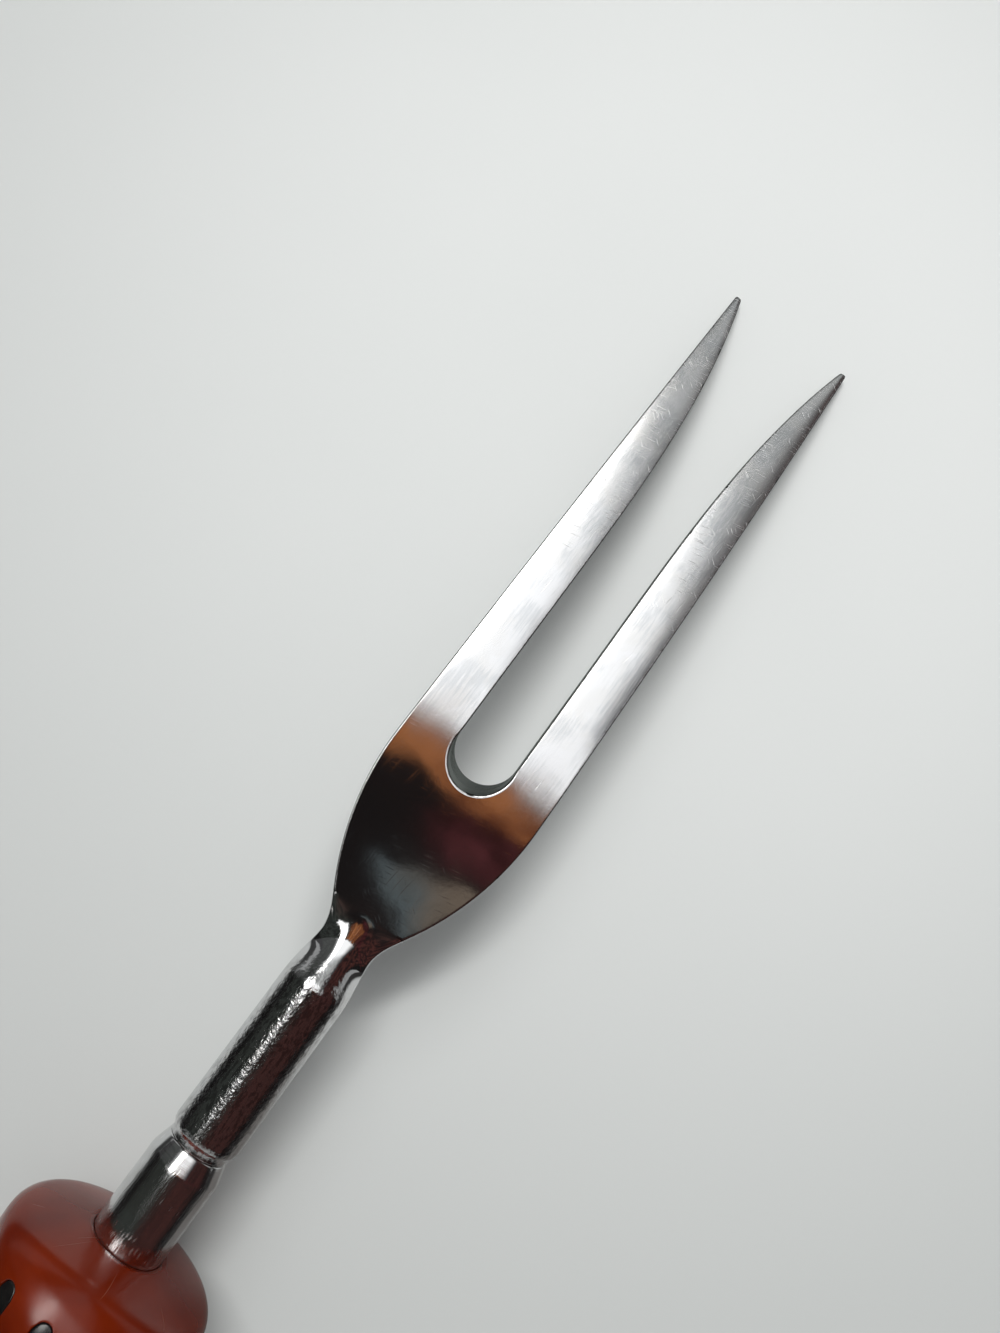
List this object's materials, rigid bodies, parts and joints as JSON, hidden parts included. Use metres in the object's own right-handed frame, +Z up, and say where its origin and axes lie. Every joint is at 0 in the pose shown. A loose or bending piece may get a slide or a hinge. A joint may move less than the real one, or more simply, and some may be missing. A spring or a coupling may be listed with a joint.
{
  "type": "meat fork",
  "caption": "Meat fork with long pointed tines on a flat forged head, round polished shank and ferrule, and a thick amber handle with black inlaid strips and a hang hole at the butt.",
  "frame": {"origin": "under the middle of the fork's length, on the surface that the handle and both tips lie on", "axes": "+X along the handle towards the tips, +Y to the left seen from above with the tips away, +Z up"},
  "size_m": [0.2664, 0.0282, 0.0282],
  "materials": {
    "polished_steel": "polished, with fine scratches from use",
    "chrome_plate": "bright plate with a few scratches",
    "amber_plastic": "glossy amber-brown",
    "black_plastic": "glossy black",
    "fibre": "dull pressed fibre"
  },
  "bodies": {
    "root": {"fork_forging": "polished_steel", "ferrule": "chrome_plate", "seat_washer": "fibre", "grip": "amber_plastic", "flute_inlays": "black_plastic", "cap_washer": "fibre", "end_cap": "chrome_plate"}
  },
  "joints": []
}
